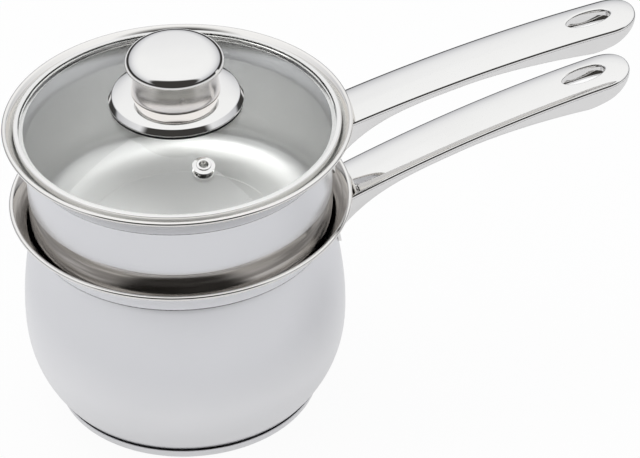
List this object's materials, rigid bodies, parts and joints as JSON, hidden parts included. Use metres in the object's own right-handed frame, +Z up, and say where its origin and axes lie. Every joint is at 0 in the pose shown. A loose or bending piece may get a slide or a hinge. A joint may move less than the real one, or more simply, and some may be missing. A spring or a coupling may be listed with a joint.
{
  "type": "porringer saucepan set",
  "caption": "Pot-bellied steel saucepan with a shallow insert pan resting in its flared mouth, long hollow handles and a domed glass lid with a round knob.",
  "frame": {"origin": "middle of the flat underside of the saucepan's base", "axes": "+Z up along the pans' common axis, +X along the saucepan's handle"},
  "size_m": [0.3282, 0.1784, 0.2106],
  "materials": {
    "satin_steel": "satin stainless steel, polished at the rim and inside",
    "mirror_steel": "mirror-polished stainless steel",
    "aluminium_core": "mill finish",
    "clear_glass": "clear tempered glass",
    "black_rubber": "matt silicone rubber",
    "moulded_core": "moulded heat-proof plastic"
  },
  "bodies": {
    "pot": {"pot_body": "satin_steel", "pot_base_core": "aluminium_core", "pot_base_cap": "mirror_steel", "pot_handle_top": "mirror_steel", "pot_handle_bottom": "mirror_steel", "pot_handle_bracket": "mirror_steel"},
    "insert": {"insert_body": "satin_steel", "insert_handle_top": "mirror_steel", "insert_handle_bottom": "mirror_steel", "insert_handle_bracket": "mirror_steel"},
    "lid": {"lid_glass": "clear_glass", "lid_band": "mirror_steel", "knob_flange": "mirror_steel", "knob_seal": "black_rubber", "knob_neck": "mirror_steel", "knob_cap": "mirror_steel", "knob_core": "moulded_core", "screw_gasket": "black_rubber", "screw_washer": "mirror_steel", "lid_screw": "mirror_steel", "vent_eyelet": "mirror_steel", "vent_gasket": "black_rubber", "vent_retainer": "mirror_steel"}
  },
  "joints": [
    {"name": "insert_lift", "type": "slide", "parent": "pot", "child": "insert", "axis": [0, 0, 1], "range_m": [0, 0.13]},
    {"name": "lid_lift", "type": "slide", "parent": "insert", "child": "lid", "axis": [0, 0, 1], "range_m": [0, 0.07]}
  ]
}
